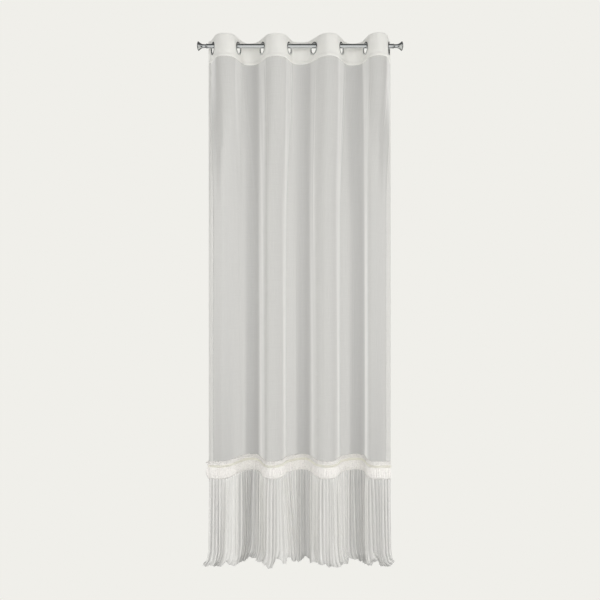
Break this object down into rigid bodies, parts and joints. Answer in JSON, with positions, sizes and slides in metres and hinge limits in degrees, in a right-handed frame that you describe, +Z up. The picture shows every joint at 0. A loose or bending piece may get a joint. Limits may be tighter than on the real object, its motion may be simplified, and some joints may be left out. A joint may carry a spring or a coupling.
{
  "type": "sheer voile eyelet curtain and curtain rod",
  "caption": "Sheer voile eyelet curtain hanging in soft folds on a thin chrome rod, with a ruched cream trim and a finely pleated flounce along its lower edge.",
  "frame": {"origin": "on the rod's axis, at the middle of its length", "axes": "+X along the rod to the right as seen from the room, +Y towards the wall, +Z up"},
  "size_m": [0.9804, 0.1525, 2.4962],
  "materials": {
    "chrome": "polished",
    "heading_cloth": "doubled and stiffened voile, nearly opaque",
    "voile": "sheer plain weave",
    "pleated_voile": "sheer, heat-set pleats",
    "cream_ruche": "gathered, opaque",
    "gold_braid": "metallic yarn"
  },
  "bodies": {
    "root": {"rod": "chrome", "finial_left": "chrome", "finial_right": "chrome", "eyelet_1": "chrome", "eyelet_2": "chrome", "eyelet_3": "chrome", "eyelet_4": "chrome", "eyelet_5": "chrome", "eyelet_6": "chrome", "eyelet_7": "chrome", "eyelet_8": "chrome", "heading": "heading_cloth", "panel": "voile", "trim": "cream_ruche", "trim_braid": "gold_braid", "flounce": "pleated_voile"}
  },
  "joints": []
}
